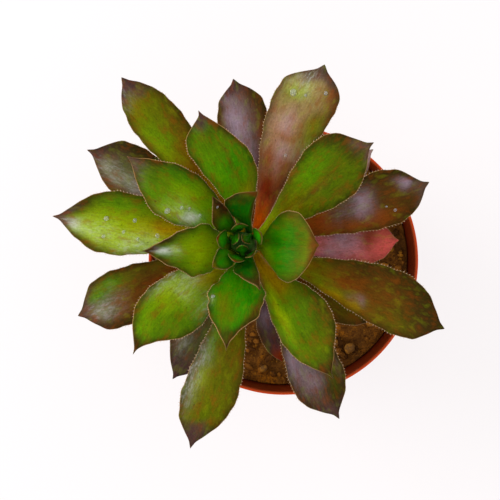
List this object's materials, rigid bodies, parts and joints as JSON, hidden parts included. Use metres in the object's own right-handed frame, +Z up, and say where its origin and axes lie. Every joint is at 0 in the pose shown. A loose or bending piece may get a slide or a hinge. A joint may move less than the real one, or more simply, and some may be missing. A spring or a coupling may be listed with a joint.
{
  "type": "potted succulent",
  "caption": "Rosette succulent with spoon-shaped pointed leaves on a short leaning stem, growing in a round thin-walled plastic nursery pot of soil.",
  "frame": {"origin": "centre of the flat underside of the pot's base", "axes": "+Z up along the pot's axis; +X and +Y level, the rosette leans towards -X"},
  "size_m": [0.1396, 0.1367, 0.168],
  "materials": {
    "pot": "satin",
    "soil": "matte",
    "grit": "matte",
    "stem": "matte",
    "leaf_plum": "satin",
    "leaf_olive": "satin",
    "leaf_green": "satin",
    "leaf_heart": "satin"
  },
  "bodies": {
    "root": {"bud_leaf_1": "leaf_heart", "bud_leaf_2": "leaf_heart", "bud_leaf_3": "leaf_heart", "core_leaf_1": "leaf_heart", "core_leaf_2": "leaf_heart", "core_leaf_3": "leaf_heart", "core_leaf_4": "leaf_heart", "core_leaf_5": "leaf_heart", "grit_01": "grit", "grit_02": "grit", "grit_03": "grit", "grit_04": "grit", "grit_05": "grit", "grit_06": "grit", "grit_07": "grit", "grit_08": "grit", "grit_09": "grit", "grit_10": "grit", "grit_11": "grit", "grit_12": "grit", "heart_leaf_1": "leaf_heart", "heart_leaf_2": "leaf_heart", "heart_leaf_3": "leaf_heart", "heart_leaf_4": "leaf_heart", "inner_leaf_1": "leaf_green", "inner_leaf_2": "leaf_green", "inner_leaf_3": "leaf_green", "inner_leaf_4": "leaf_green", "inner_leaf_5": "leaf_green", "lower_leaf_1": "leaf_plum", "lower_leaf_2": "leaf_plum", "lower_leaf_3": "leaf_plum", "lower_leaf_4": "leaf_plum", "lower_leaf_5": "leaf_plum", "lower_leaf_6": "leaf_plum", "lower_leaf_7": "leaf_plum", "lower_leaf_8": "leaf_plum", "middle_leaf_1": "leaf_olive", "middle_leaf_2": "leaf_olive", "middle_leaf_3": "leaf_olive", "middle_leaf_4": "leaf_olive", "middle_leaf_5": "leaf_olive", "outer_leaf_1": "leaf_plum", "outer_leaf_2": "leaf_plum", "outer_leaf_3": "leaf_plum", "outer_leaf_4": "leaf_plum", "outer_leaf_5": "leaf_plum", "pot": "pot", "soil": "soil", "stem": "stem", "upper_leaf_1": "leaf_green", "upper_leaf_2": "leaf_green", "upper_leaf_3": "leaf_green"}
  },
  "joints": []
}
